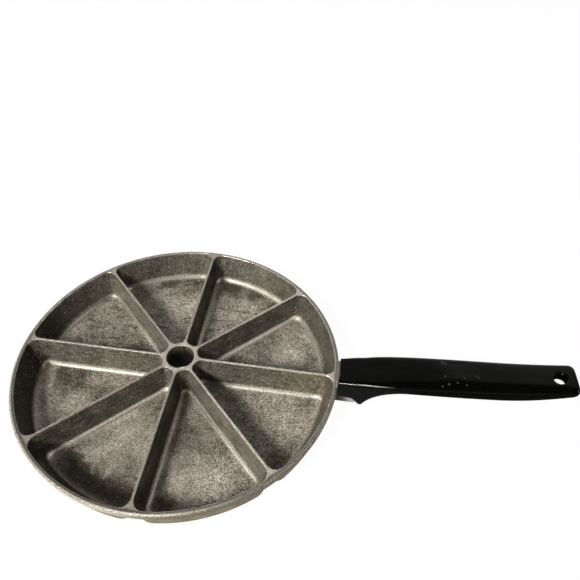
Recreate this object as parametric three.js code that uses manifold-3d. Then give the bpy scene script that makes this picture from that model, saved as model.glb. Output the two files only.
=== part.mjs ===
// Wedge pan for cornbread: a one-piece cast-aluminium body with a ring of wedge wells round a bored hub,
// and a phenolic handle that one screw holds on the body's tongue. Millimetres, +Z up, handle along +X.
// The pan stands on the flat undersides of its wells.
import * as THREE from "three";
import { mergeVertices } from "three/addons/utils/BufferGeometryUtils.js";
import Module from "manifold-3d";

const wasm = await Module();
wasm.setup();

// Body: drops are measured down from the top of the rim
const RIM_RADIUS = 120;
const RIM_LAND = 3;
const RIM_BAND = 7;
const RIM_ROUND = 1.6;
const BAND_CHAMFER = 1;
const BAND_DRAFT = 6;
const WELL_COUNT = 8;
const WELL_DEPTH = 25;
const WELL_DRAFT = 6;
const FLOOR_FILLET = 5;
const RIM_DRAFT = 15;
const RIM_FILLET = 7;
const RIM_CORNER = 7;
const HUB_CORNER = 5;
const DIVIDER_LAND = 1.6;
const WALL = 2.3;
const CUP_DRAFT = 10;
const FLOOR = 3;
const HUB_BORE = 20.6;
const HUB_LAND = 2.7;
const HUB_EDGE = 0.6;
const SLEEVE_FLARE = 2.3;
const CUP_HUB_CORNER = 2;
const SLEEVE_LIFT = 1;

// Handle seat on the rim and the tongue below it: reaches are measured out from the seat's face
const SEAT_WIDTH = 20.6;
const SEAT_RISE = 6;
const SEAT_LIP = 2.4;
const SEAT_PROUD = 0.2;
const TONGUE_WIDTH = 15;
const TONGUE_REACH = 14.6;
const TONGUE_DROP = 21;
const TONGUE_ROUND = 1.2;
const NOSE_ROUND = 2;

// Handle
const HANDLE_LENGTH = 160.2;
const HANDLE_TILT = 8.54;
const TOP_RISE = 7.6;
const TOP_CROWN = 0.9;
const TOP_SWAY = 0.85;
const ROOT_DROP = 9;
const ROOT_WIDTH = 23.2;
const ARCH_REACH = 8.5;
const GUARD_REACH = 16.7;
const GUARD_DROP = 15.2;
const GUARD_ROUND = 1.7;
const HOLLOW_RUN = 6.9;
const NECK_REACH = 47;
const NECK_THICKNESS = 9.8;
const PALM_REACH = 84;
const PALM_THICKNESS = 12;
const BELLY_REACH = 112;
const BELLY_THICKNESS = 12.65;
const HEEL_REACH = 136;
const HEEL_THICKNESS = 13.2;
const SHOULDER_REACH = 24;
const GRIP_REACH = 50;
const GRIP_WIDTH = 29.6;
const END_WIDTH = 24.8;
const END_THICKNESS = 4.7;
const END_ROUND = 4;
const END_BEVEL = 1.3;
const ROOT_SQUARENESS = 11;
const GRIP_SQUARENESS = 3.8;
const HANG_HOLE = 8.6;
const HANG_HOLE_INSET = 10.6;

// Screw, washer and insert
const SCREW_REACH = 7;
const SCREW_DIAMETER = 5;
const SCREW_HEAD = 9;
const SCREW_HEAD_HEIGHT = 3;
const SCREW_SLOT_WIDTH = 1.2;
const SCREW_SLOT_DEPTH = 1.5;
const WASHER_DIAMETER = 8.8;
const WASHER_THICKNESS = 1.2;
const WASHER_SPLIT = 0.8;
const INSERT_DIAMETER = 8;
const INSERT_LENGTH = 11;
const INSERT_WAIST = 3.7;
const INSERT_GROOVE = 0.6;

// Clearance between pieces that fit in each other, and between flat faces that rest on each other
const FIT = 0.3;
const CONTACT = 0.1;

// Facets of the round forms
const FILLET_STEPS = 3;
const CORNER_STEPS = 3;
const HUB_END_STEPS = 3;
const RIM_ARC_STEPS = 3;
const TURN_STEPS = 72;
const SMALL_TURN_STEPS = 28;
const SECTION_STEPS = 28;
const CURVE_STEPS = 7;
const BEVEL_STEPS = 2;

// Heights and places that follow
const RIM_HEIGHT = WELL_DEPTH + FLOOR;
const SEAT_RADIUS = RIM_RADIUS + SEAT_PROUD;
const TILT = THREE.MathUtils.degToRad(HANDLE_TILT);
const BOSS_DEPTH = SEAT_PROUD + RIM_LAND + RIM_CORNER;
const SCREW_X = SEAT_RADIUS + SCREW_REACH;
const CUT_MARGIN = 1;

const MATERIALS = {
  castAluminium: new THREE.MeshStandardMaterial({ color: 0x7d776b, roughness: 0.55, metalness: 0.85 }),
  phenolic: new THREE.MeshStandardMaterial({ color: 0x191816, roughness: 0.28, metalness: 0 }),
  steel: new THREE.MeshStandardMaterial({ color: 0xa9a9a6, roughness: 0.35, metalness: 1 }),
  brass: new THREE.MeshStandardMaterial({ color: 0xb08d3e, roughness: 0.35, metalness: 1 }),
};

// Solid for joining and cutting, from any closed geometry
function solid(geometry) {
  const bare = new THREE.BufferGeometry();
  bare.setAttribute("position", geometry.getAttribute("position"));
  bare.setIndex(geometry.getIndex());
  const merged = mergeVertices(bare);
  const corners = merged.getIndex().array;
  const kept = [];
  for (let i = 0; i < corners.length; i += 3) {
    const [a, b, c] = corners.slice(i, i + 3);
    if (a !== b && b !== c && c !== a) {
      kept.push(a, b, c);
    }
  }
  const vertProperties = Float32Array.from(merged.getAttribute("position").array);
  return new wasm.Manifold(new wasm.Mesh({ numProp: 3, vertProperties, triVerts: Uint32Array.from(kept) }));
}

function union(solids) {
  return solids.reduce((whole, piece) => whole.add(piece));
}

function cut(whole, cutters) {
  return cutters.reduce((rest, cutter) => rest.subtract(cutter), whole);
}

function namedMesh(name, body, material) {
  const { vertProperties, triVerts } = body.getMesh();
  const geometry = new THREE.BufferGeometry();
  geometry.setAttribute("position", new THREE.BufferAttribute(vertProperties, 3));
  geometry.setIndex(new THREE.BufferAttribute(triVerts, 1));
  geometry.computeVertexNormals();
  const mesh = new THREE.Mesh(geometry, material);
  mesh.name = name;
  return mesh;
}

// Closed geometry through loops of equal counts, each anticlockwise about the direction in which they follow
function loft(loops, across, up) {
  const count = loops[0].length;
  const last = (loops.length - 1) * count;
  const index = [];
  for (let start = 0; start < last; start += count) {
    for (let k = 0; k < count; k += 1) {
      const a = start + k;
      const b = start + (k + 1) % count;
      index.push(a, b, b + count, a, b + count, a + count);
    }
  }
  const cap = (loop) => {
    const outline = loop.map((p) => new THREE.Vector2(p[across], p[up]));
    return THREE.ShapeUtils.triangulateShape(outline, []);
  };
  for (const [a, b, c] of cap(loops[0])) {
    index.push(a, c, b);
  }
  for (const [a, b, c] of cap(loops.at(-1))) {
    index.push(last + a, last + b, last + c);
  }
  const geometry = new THREE.BufferGeometry().setFromPoints(loops.flat());
  geometry.setIndex(index);
  return geometry;
}

// Revolved geometry about +Z from a profile of (radius, height) that runs upwards along its outer side
function turned(profile, steps) {
  const points = profile.map(([radius, height]) => new THREE.Vector2(radius, height));
  return new THREE.LatheGeometry(points, steps).rotateX(Math.PI / 2);
}

function cylinder(radius, bottom, top) {
  return turned([[0, bottom], [radius, bottom], [radius, top], [0, top]], SMALL_TURN_STEPS);
}

// Upright slice of a ring about the hub's axis, centred on +X
function ringSlice(inner, outer, width, bottom, top) {
  const angle = Math.asin(width / 2 / outer);
  const outline = new THREE.Shape();
  outline.absarc(0, 0, outer, -angle, angle, false);
  outline.absarc(0, 0, inner, angle, -angle, true);
  const options = { depth: top - bottom, bevelEnabled: false, curveSegments: CURVE_STEPS };
  return new THREE.ExtrudeGeometry(outline, options).translate(0, 0, bottom);
}

// Run for each unit of rise of a line leaning by some degrees
function slope(degrees) {
  return Math.tan(THREE.MathUtils.degToRad(degrees));
}

function polar(radius, angle) {
  return new THREE.Vector2(radius * Math.cos(angle), radius * Math.sin(angle));
}

// Half of a well's plan outline, beside the divider on +X: from the hub, along the divider, to the rim
function halfWedge(inset, rimInset, rimCorner, hubCorner) {
  const bisector = Math.PI / WELL_COUNT;
  const side = DIVIDER_LAND / 2 + inset;
  const rim = RIM_RADIUS - RIM_LAND - rimInset;
  const hub = HUB_BORE / 2 + HUB_LAND + inset;

  const hubRatio = Math.min(1, (side + hubCorner) / (hub + hubCorner));
  const hubAngle = Math.min(bisector, Math.asin(hubRatio));
  const hubCentre = polar((side + hubCorner) / Math.sin(hubAngle), hubAngle);
  const hubArc = hub * (bisector - hubAngle);
  const cornerArc = hubCorner * (Math.PI / 2 - hubAngle);
  const points = [];
  for (let k = 0; k <= HUB_END_STEPS; k += 1) {
    const along = (hubArc + cornerArc) * k / HUB_END_STEPS;
    if (along < hubArc) {
      points.push(polar(hub, bisector - along / hub));
    } else {
      const angle = hubAngle + Math.PI + (along - hubArc) / hubCorner;
      points.push(polar(hubCorner, angle).add(hubCentre));
    }
  }

  const rimAngle = Math.asin((side + rimCorner) / (rim - rimCorner));
  const rimCentre = polar(rim - rimCorner, rimAngle);
  for (let k = 0; k <= CORNER_STEPS; k += 1) {
    const angle = THREE.MathUtils.lerp(-Math.PI / 2, rimAngle, k / CORNER_STEPS);
    points.push(polar(rimCorner, angle).add(rimCentre));
  }
  for (let k = 1; k <= RIM_ARC_STEPS; k += 1) {
    points.push(polar(rim, THREE.MathUtils.lerp(rimAngle, bisector, k / RIM_ARC_STEPS)));
  }
  return points;
}

// Whole outline of the well between the dividers at 0 and 360 / WELL_COUNT degrees, at one height
function wedgeLoop(height, inset, rimInset, rimCorner, hubCorner) {
  const near = halfWedge(inset, rimInset, rimCorner, hubCorner);
  const turn = 2 * Math.PI / WELL_COUNT;
  const far = near.slice(1, -1).reverse().map((p) => polar(p.length(), turn - p.angle()));
  return [...near, ...far].map((p) => new THREE.Vector3(p.x, p.y, height));
}

// How far a well's wall stands in at a drop: drafted, then curved into the floor, with the surface moved out
// by a wall and down by a floor
function wallInset(drop, draft, fillet, wall, floor) {
  const foot = WELL_DEPTH - fillet;
  const intoFillet = Math.max(0, drop - foot) / (fillet + floor);
  const curve = 1 - Math.sqrt(Math.max(0, 1 - intoFillet * intoFillet));
  return Math.min(drop, foot) * slope(draft) - wall + (fillet + wall) * curve;
}

// Well surface from its floor up to a given drop, moved outwards by a wall and down by a floor
function wedge(wall, floor, rimDraft, topDrop, hubCorner) {
  const fillet = Math.max(FLOOR_FILLET, RIM_FILLET);
  const drops = [];
  for (let k = FILLET_STEPS; k >= 0; k -= 1) {
    drops.push(WELL_DEPTH - fillet + (fillet + floor) * Math.sin(Math.PI / 2 * k / FILLET_STEPS));
  }
  drops.push(topDrop);
  const loops = drops.map((drop) => {
    const inset = wallInset(drop, WELL_DRAFT, FLOOR_FILLET, wall, floor);
    const rimInset = wallInset(drop, rimDraft, RIM_FILLET, wall, floor);
    return wedgeLoop(RIM_HEIGHT - drop, inset, rimInset, RIM_CORNER + wall, hubCorner);
  });
  return loft(loops, "x", "y");
}

function roundTheHub(geometry) {
  const turn = 2 * Math.PI / WELL_COUNT;
  return Array.from({ length: WELL_COUNT }, (_, k) => solid(geometry.clone().rotateZ(turn * k)));
}

// Plate with the rim's tapered band and rounded edge, which the wells cut down to the rim, dividers and hub
function rimPlate() {
  const bottom = RIM_HEIGHT - RIM_BAND;
  const foot = RIM_RADIUS - (RIM_BAND - RIM_ROUND - BAND_CHAMFER) * slope(BAND_DRAFT);
  const profile = [[0, bottom], [foot - BAND_CHAMFER, bottom], [foot, bottom + BAND_CHAMFER]];
  for (let k = 0; k <= FILLET_STEPS; k += 1) {
    const round = polar(RIM_ROUND, Math.PI / 2 * k / FILLET_STEPS);
    profile.push([RIM_RADIUS - RIM_ROUND + round.x, RIM_HEIGHT - RIM_ROUND + round.y]);
  }
  profile.push([0, RIM_HEIGHT]);
  return turned(profile, TURN_STEPS);
}

function tongue() {
  const top = -ROOT_DROP - CONTACT;
  const bottom = -TONGUE_DROP;
  const edge = TONGUE_ROUND;
  const nose = TONGUE_REACH - edge;
  const outline = new THREE.Shape();
  outline.moveTo(-BOSS_DEPTH, bottom + edge);
  outline.lineTo(TONGUE_REACH - NOSE_ROUND, bottom + edge);
  outline.quadraticCurveTo(nose, bottom + edge, nose, bottom + NOSE_ROUND + edge);
  outline.quadraticCurveTo(nose, top - edge, ARCH_REACH - NOSE_ROUND, top - edge);
  outline.lineTo(-BOSS_DEPTH, top - edge);
  const geometry = new THREE.ExtrudeGeometry(outline, {
    depth: TONGUE_WIDTH - 2 * edge,
    bevelSize: edge,
    bevelThickness: edge,
    bevelSegments: BEVEL_STEPS,
    curveSegments: CURVE_STEPS,
  });
  geometry.translate(0, 0, edge - TONGUE_WIDTH / 2);
  return geometry.rotateX(Math.PI / 2).translate(SEAT_RADIUS, 0, RIM_HEIGHT);
}

function panCasting() {
  const tongueBottom = RIM_HEIGHT - TONGUE_DROP;
  const seatTop = RIM_HEIGHT + SEAT_RISE;
  const bandMiddle = RIM_HEIGHT - RIM_BAND / 2;
  const sleeveTop = RIM_HEIGHT - CUT_MARGIN;
  const boreTop = RIM_HEIGHT + CUT_MARGIN;
  const bore = HUB_BORE / 2;

  const cups = roundTheHub(wedge(WALL, FLOOR, CUP_DRAFT, RIM_BAND / 2, CUP_HUB_CORNER));
  const wells = roundTheHub(wedge(0, 0, RIM_DRAFT, -CUT_MARGIN, HUB_CORNER));
  const sleeve = cylinder(bore + HUB_LAND + SLEEVE_FLARE, SLEEVE_LIFT, sleeveTop);
  const lip = ringSlice(SEAT_RADIUS - SEAT_LIP, SEAT_RADIUS, SEAT_WIDTH, bandMiddle, seatTop);
  const bossBack = SEAT_RADIUS - BOSS_DEPTH - TONGUE_ROUND;
  const bossWidth = TONGUE_WIDTH - 2 * TONGUE_ROUND;
  const boss = ringSlice(bossBack, SEAT_RADIUS, bossWidth, tongueBottom + TONGUE_ROUND, bandMiddle);
  const boreCut = turned([
    [0, -CUT_MARGIN],
    [bore, -CUT_MARGIN],
    [bore, RIM_HEIGHT - HUB_EDGE],
    [bore + HUB_EDGE + CUT_MARGIN, boreTop],
    [0, boreTop],
  ], SMALL_TURN_STEPS);
  const screwHole = cylinder(SCREW_DIAMETER / 2 + FIT, tongueBottom - CUT_MARGIN, RIM_HEIGHT - ROOT_DROP);
  screwHole.translate(SCREW_X, 0, 0);

  const body = union([solid(rimPlate()), ...cups, solid(sleeve), solid(lip), solid(boss), solid(tongue())]);
  return cut(body, [...wells, solid(boreCut), solid(screwHole)]);
}

// Height of the handle's top line above the rim, at a reach from the seat
function handleTop(reach) {
  const share = reach / HANDLE_LENGTH;
  const bow = 4 * TOP_CROWN * share * (1 - share) + TOP_SWAY * Math.sin(2 * Math.PI * share);
  return TOP_RISE + reach * slope(HANDLE_TILT) + bow;
}

// Handle's underside from the side, as (reach, height above the rim): arch, guard, neck, belly, end
function handleUnderside() {
  const guardLeft = GUARD_REACH - GUARD_ROUND;
  const guardRight = GUARD_REACH + GUARD_ROUND;
  const guardTip = -GUARD_DROP - GUARD_ROUND / 2;
  const guardSide = -GUARD_DROP + GUARD_ROUND / 2;
  const neck = handleTop(NECK_REACH) - NECK_THICKNESS;
  const hollowReach = guardRight + HOLLOW_RUN;
  const hollow = neck - (NECK_REACH - hollowReach) * slope(HANDLE_TILT);
  const palm = handleTop(PALM_REACH) - PALM_THICKNESS;
  const belly = handleTop(BELLY_REACH) - BELLY_THICKNESS;
  const heel = handleTop(HEEL_REACH) - HEEL_THICKNESS;
  const end = handleTop(HANDLE_LENGTH) - END_THICKNESS;

  const line = new THREE.Path();
  line.moveTo(-SEAT_LIP, -ROOT_DROP);
  line.lineTo(ARCH_REACH, -ROOT_DROP);
  line.quadraticCurveTo((ARCH_REACH + guardLeft) / 2, -ROOT_DROP, guardLeft, guardSide);
  line.quadraticCurveTo(GUARD_REACH, guardTip, guardRight, guardSide);
  line.quadraticCurveTo(hollowReach, hollow, NECK_REACH, neck);
  line.quadraticCurveTo(PALM_REACH, palm, BELLY_REACH, belly);
  line.quadraticCurveTo(HEEL_REACH, heel, HANDLE_LENGTH, end);
  return line.getPoints(CURVE_STEPS);
}

// Half widths of the handle in plan, as (reach, half width)
function handleSide() {
  const line = new THREE.Path();
  line.moveTo(-SEAT_LIP, ROOT_WIDTH / 2);
  line.lineTo(0, ROOT_WIDTH / 2);
  line.quadraticCurveTo(SHOULDER_REACH, GRIP_WIDTH / 2, GRIP_REACH, GRIP_WIDTH / 2);
  line.quadraticCurveTo((GRIP_REACH + HANDLE_LENGTH) / 2, GRIP_WIDTH / 2, HANDLE_LENGTH, END_WIDTH / 2);
  return line.getPoints(CURVE_STEPS);
}

function valueAt(points, reach) {
  const next = points.findIndex((p, k) => k > 0 && p.x >= reach);
  const [a, b] = [points.at(next - 1), points.at(next)];
  return THREE.MathUtils.mapLinear(reach, a.x, b.x, a.y, b.y);
}

// Section of the handle across +X: square-edged at the root, rounder along the grip
function handleSection(reach, underside, side) {
  const endStart = HANDLE_LENGTH - END_ROUND;
  const intoEnd = Math.max(0, reach - endStart) / END_ROUND;
  const endRound = 1 - Math.sqrt(1 - intoEnd * intoEnd);
  const half = valueAt(side, reach) - END_ROUND * endRound;
  const top = handleTop(reach) - END_BEVEL * endRound;
  const bottom = valueAt(underside, reach) + END_BEVEL * endRound;
  const softness = THREE.MathUtils.smoothstep(reach, 0, NECK_REACH);
  const power = 2 / THREE.MathUtils.lerp(ROOT_SQUARENESS, GRIP_SQUARENESS, softness);
  const bulge = (value) => Math.sign(value) * Math.abs(value) ** power;
  return Array.from({ length: SECTION_STEPS }, (_, k) => {
    const angle = 2 * Math.PI * (k + 0.5) / SECTION_STEPS;
    const y = half * bulge(Math.cos(angle));
    const z = (top + bottom) / 2 + (top - bottom) / 2 * bulge(Math.sin(angle));
    return new THREE.Vector3(SEAT_RADIUS + reach, y, RIM_HEIGHT + z);
  });
}

function handle() {
  const underside = handleUnderside();
  const side = handleSide();
  const endStart = HANDLE_LENGTH - END_ROUND;
  const reaches = underside.map((p) => p.x).filter((reach) => reach < endStart);
  for (let k = 0; k <= CORNER_STEPS; k += 1) {
    reaches.push(endStart + END_ROUND * Math.sin(Math.PI / 2 * k / CORNER_STEPS));
  }
  const body = solid(loft(reaches.map((reach) => handleSection(reach, underside, side)), "y", "z"));

  const seatBottom = RIM_HEIGHT - GUARD_DROP - GUARD_ROUND;
  const seatTop = RIM_HEIGHT + handleTop(0) + TOP_CROWN;
  const seatCut = ringSlice(RIM_RADIUS / 2, SEAT_RADIUS + FIT, 2 * ROOT_WIDTH, seatBottom, seatTop);

  const pocketTop = RIM_HEIGHT - ROOT_DROP + INSERT_LENGTH + FIT;
  const pocket = cylinder(INSERT_DIAMETER / 2 + FIT, seatBottom, pocketTop).translate(SCREW_X, 0, 0);

  const holeReach = HANDLE_LENGTH - HANG_HOLE_INSET;
  const thickness = handleTop(holeReach) - valueAt(underside, holeReach);
  const holeMiddle = RIM_HEIGHT + handleTop(holeReach) - thickness / 2;
  const hangHole = cylinder(HANG_HOLE / 2, -thickness, thickness).rotateY(-TILT);
  hangHole.translate(SEAT_RADIUS + holeReach, 0, holeMiddle);

  return cut(body, [solid(seatCut), solid(pocket), solid(hangHole)]);
}

function threadedInsert() {
  const bottom = RIM_HEIGHT - ROOT_DROP;
  const top = bottom + INSERT_LENGTH;
  const outer = INSERT_DIAMETER / 2;
  const waist = outer - INSERT_GROOVE;
  const inner = SCREW_DIAMETER / 2 + FIT;
  const waistBottom = bottom + (INSERT_LENGTH - INSERT_WAIST) / 2;
  const waistTop = waistBottom + INSERT_WAIST;
  const profile = [
    [inner, bottom],
    [outer, bottom],
    [outer, waistBottom],
    [waist, waistBottom + INSERT_GROOVE],
    [waist, waistTop - INSERT_GROOVE],
    [outer, waistTop],
    [outer, top],
    [inner, top],
    [inner, bottom],
  ];
  return solid(turned(profile, SMALL_TURN_STEPS).translate(SCREW_X, 0, 0));
}

function lockWasher() {
  const top = RIM_HEIGHT - TONGUE_DROP - CONTACT;
  const bottom = top - WASHER_THICKNESS;
  const outer = WASHER_DIAMETER / 2;
  const inner = SCREW_DIAMETER / 2 + FIT;
  const profile = [[inner, bottom], [outer, bottom], [outer, top], [inner, top], [inner, bottom]];
  const ring = turned(profile, SMALL_TURN_STEPS);
  const split = new THREE.BoxGeometry(outer, WASHER_SPLIT, 2 * WASHER_THICKNESS);
  split.translate(inner + outer / 2 - CUT_MARGIN, 0, (top + bottom) / 2);
  return cut(solid(ring.translate(SCREW_X, 0, 0)), [solid(split.translate(SCREW_X, 0, 0))]);
}

function handleScrew() {
  const seat = RIM_HEIGHT - TONGUE_DROP - WASHER_THICKNESS - 2 * CONTACT;
  const bottom = seat - SCREW_HEAD_HEIGHT;
  const tip = RIM_HEIGHT - ROOT_DROP + INSERT_LENGTH - FIT;
  const shank = SCREW_DIAMETER / 2;
  const profile = [];
  for (let k = 0; k <= CORNER_STEPS; k += 1) {
    const angle = Math.PI / 2 * k / CORNER_STEPS;
    profile.push([SCREW_HEAD / 2 * Math.sin(angle), seat - SCREW_HEAD_HEIGHT * Math.cos(angle)]);
  }
  profile.push([shank, seat], [shank, tip - shank / 2], [shank / 2, tip], [0, tip]);
  const body = turned(profile, SMALL_TURN_STEPS).translate(SCREW_X, 0, 0);
  const slot = new THREE.BoxGeometry(SCREW_HEAD, SCREW_SLOT_WIDTH, 2 * SCREW_SLOT_DEPTH);
  slot.translate(SCREW_X, 0, bottom);
  return cut(solid(body), [solid(slot)]);
}

const pan = new THREE.Group();
pan.add(
  namedMesh("pan_casting", panCasting(), MATERIALS.castAluminium),
  namedMesh("handle", handle(), MATERIALS.phenolic),
  namedMesh("threaded_insert", threadedInsert(), MATERIALS.brass),
  namedMesh("handle_screw", handleScrew(), MATERIALS.steel),
  namedMesh("lock_washer", lockWasher(), MATERIALS.steel),
);

// The origin is the middle of the footprint, on the surface that the pan stands on
const extent = new THREE.Box3().setFromObject(pan);
const middle = extent.getCenter(new THREE.Vector3());
pan.position.set(-middle.x, -middle.y, -extent.min.z);

export default pan;
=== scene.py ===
# Looks of the cornbread wedge pan: fine cast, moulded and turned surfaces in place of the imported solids,
# their materials, plain studio light and the photograph's camera.
import math
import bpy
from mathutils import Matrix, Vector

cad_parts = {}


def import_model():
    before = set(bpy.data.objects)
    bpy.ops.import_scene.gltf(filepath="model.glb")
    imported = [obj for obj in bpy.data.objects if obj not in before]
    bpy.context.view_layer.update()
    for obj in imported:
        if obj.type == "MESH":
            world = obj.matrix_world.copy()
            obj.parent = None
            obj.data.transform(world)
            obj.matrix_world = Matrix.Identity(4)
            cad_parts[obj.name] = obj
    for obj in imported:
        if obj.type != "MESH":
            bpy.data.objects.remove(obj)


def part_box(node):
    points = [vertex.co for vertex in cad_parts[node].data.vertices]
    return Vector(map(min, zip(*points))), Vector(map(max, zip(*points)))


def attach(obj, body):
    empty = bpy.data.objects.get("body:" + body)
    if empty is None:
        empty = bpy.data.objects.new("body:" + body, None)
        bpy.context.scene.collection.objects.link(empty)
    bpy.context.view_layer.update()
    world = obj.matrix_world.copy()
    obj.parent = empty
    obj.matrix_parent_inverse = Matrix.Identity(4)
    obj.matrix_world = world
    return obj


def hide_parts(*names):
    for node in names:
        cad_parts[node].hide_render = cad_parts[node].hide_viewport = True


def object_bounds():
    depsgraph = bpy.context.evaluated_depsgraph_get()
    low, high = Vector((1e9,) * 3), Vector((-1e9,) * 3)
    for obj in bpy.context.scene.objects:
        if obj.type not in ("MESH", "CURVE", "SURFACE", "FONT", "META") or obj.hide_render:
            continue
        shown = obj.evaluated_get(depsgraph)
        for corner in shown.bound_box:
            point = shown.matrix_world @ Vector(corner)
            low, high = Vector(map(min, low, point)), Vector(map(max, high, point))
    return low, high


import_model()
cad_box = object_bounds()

from types import SimpleNamespace

import bmesh
import bpy
import numpy as np
from mathutils import Matrix, Vector

MM = 0.001


def metres(*lengths):
    """Lengths in millimetres, in metres."""
    return tuple(length * MM for length in lengths)


# Pan body, in millimetres and degrees; drops are measured down from the top of the rim
RIM_RADIUS = 120
RIM_LAND = 3
RIM_BAND = 7
RIM_ROUND = 1.6
BAND_CHAMFER = 1
BAND_DRAFT = 6
WELL_COUNT = 8
WELL_DEPTH = 25
WELL_DRAFT = 6
FLOOR_FILLET = 5
RIM_DRAFT = 15
RIM_FILLET = 7
RIM_CORNER = 7
HUB_CORNER = 5
DIVIDER_LAND = 1.6
WALL = 2.3
CUP_DRAFT = 10
FLOOR = 3
HUB_BORE = 20.6
HUB_LAND = 2.7
HUB_EDGE = 0.8
SLEEVE_FLARE = 2.3
CUP_HUB_CORNER = 2
SLEEVE_LIFT = 1
LAND_ROUND = 0.4

# Handle seat and tongue; reaches are measured out from the seat's face
SEAT_WIDTH = 20.6
SEAT_RISE = 6
SEAT_LIP = 2.4
SEAT_PROUD = 0.2
SEAT_ROUND = 0.9
TONGUE_WIDTH = 15
TONGUE_REACH = 14.6
TONGUE_DROP = 21
TONGUE_ROUND = 1.2
NOSE_ROUND = 2

# Handle
HANDLE_LENGTH = 160.2
HANDLE_TILT = 8.54
TOP_RISE = 7.6
TOP_CROWN = 0.9
TOP_SWAY = 0.85
ROOT_DROP = 9
ROOT_WIDTH = 23.2
ARCH_REACH = 8.5
GUARD_REACH = 16.7
GUARD_DROP = 15.2
GUARD_ROUND = 1.7
HOLLOW_RUN = 6.9
NECK_REACH = 47
NECK_THICKNESS = 9.8
PALM_REACH = 84
PALM_THICKNESS = 12
BELLY_REACH = 112
BELLY_THICKNESS = 12.65
HEEL_REACH = 136
HEEL_THICKNESS = 13.2
SHOULDER_REACH = 24
GRIP_REACH = 50
GRIP_WIDTH = 29.6
END_WIDTH = 24.8
END_THICKNESS = 4.7
END_ROUND = 4
END_BEVEL = 1.3
ROOT_SQUARENESS = 11
GRIP_SQUARENESS = 3.8
HANG_HOLE = 7.8
HANG_HOLE_INSET = 10.6
HANG_HOLE_ROUND = 2.2

# Screw, washer and insert
SCREW_REACH = 7
SCREW_DIAMETER = 5
SCREW_HEAD = 9
SCREW_HEAD_HEIGHT = 3
SCREW_SLOT_WIDTH = 1.2
SCREW_SLOT_DEPTH = 1.5
SCREW_TIP = 0.5
WASHER_DIAMETER = 8.8
WASHER_THICKNESS = 1.2
WASHER_SPLIT = 0.8
WASHER_ROUND = 0.15
INSERT_DIAMETER = 8
INSERT_LENGTH = 11
FIT = 0.3
CONTACT = 0.1

# Steps of the fine surfaces
HUB_STEPS = 10
SIDE_STEPS = 30
CORNER_STEPS = 8
RIM_STEPS = 16
FILLET_STEPS = 9
ROUND_STEPS = 4
EDGE_STEPS = 6
WASHER_ROUND_STEPS = 2
WALL_STEPS = 5
TURN_STEPS = 256
SMALL_TURN_STEPS = 64
CURVE_STEPS = 24
SECTION_STEPS = 72
FLOOR_RINGS = (0.04, 0.3, 0.55, 0.78, 0.94)
SHARP_ANGLE = math.radians(38)
DOME_START = 0.08
CIRCULAR = 0.5
CUT_MARGIN = 1

# Heights and places that follow
RIM_HEIGHT = WELL_DEPTH + FLOOR
SEAT_RADIUS = RIM_RADIUS + SEAT_PROUD
BOSS_DEPTH = SEAT_PROUD + RIM_LAND + RIM_CORNER
TONGUE_BOTTOM = RIM_HEIGHT - TONGUE_DROP
SCREW_X = SEAT_RADIUS + SCREW_REACH
PAN_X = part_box("pan_casting")[0].x / MM + RIM_RADIUS
SECTOR = 2 * math.pi / WELL_COUNT
RIM_MIDDLE = Vector(metres(PAN_X, 0, RIM_HEIGHT))

# Camera: its place from the middle of the rim's top, in millimetres, and its angles in degrees
CAMERA_PLACE = (98.85, -238.9, 325.8)
CAMERA_AZIMUTH = -85.42
CAMERA_ELEVATION = 45.22
CAMERA_ROLL = 3.49
SENSOR_WIDTH = 36
CAMERA_LENS = 33.34

# Tones of the casting
# Floor tones, from abraded light metal, also used for painted light, to soiled dark metal, also used for
# painted shadows and painted shade
FLOOR_WORN_AND_LIT = (0.46, 0.425, 0.362, 1)
FLOOR_STAINED_AND_SHADED = (0.085, 0.072, 0.053, 1)
# Wall tones: painted light and painted shade by the way the walls face, also blotches and rub marks
WALL_LIGHT = (0.2, 0.184, 0.148, 1)
WALL_DARK = (0.022, 0.018, 0.0125, 1)
# Fillet tone: rub-polished metal and painted highlight
FILLET = (0.53, 0.495, 0.43, 1)
# Painted glints: light specks standing for sparkle on the grainy skin
GLINT = (0.62, 0.585, 0.52, 1)
LAND_LEFT = (0.3, 0.278, 0.24, 1)
LAND_RIGHT = (0.44, 0.41, 0.357, 1)
RIM_TOP_LEFT = (0.27, 0.254, 0.223, 1)
RIM_TOP = (0.47, 0.445, 0.391, 1)
RIM_LINE = (0.09, 0.08, 0.062, 1)
# Band: its painted lit side, then its plain tone
BAND_LIT = (0.42, 0.39, 0.33, 1)
BAND = (0.15, 0.127, 0.08, 1)
OLIVE = (0.21, 0.183, 0.105, 1)
CUP = (0.23, 0.2, 0.145, 1)
CUP_STAINED = (0.14, 0.118, 0.08, 1)
# Bore: painted light on its upper wall, then painted shade, near black, down the hole
BORE_TOP = (0.1, 0.08, 0.05, 1)
BORE = (0.006, 0.005, 0.0035, 1)
# Tongue: painted shade under the handle near the pan, then a lighter tip
TONGUE_DARK = (0.05, 0.04, 0.03, 1)
TONGUE_TIP = (0.4, 0.375, 0.335, 1)

# Ways faced by the walls painted lit, the walls painted greyer, the band's side painted lit, and the
# darkest of the rim
LIGHT_WALLS = (-0.766, -0.643, 0)
GREY_WALLS = (0.707, -0.707, 0)
LIGHT_BAND = (-0.423, -0.906, 0)
DARK_RIM = (-0.707, -0.707, 0)
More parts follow.
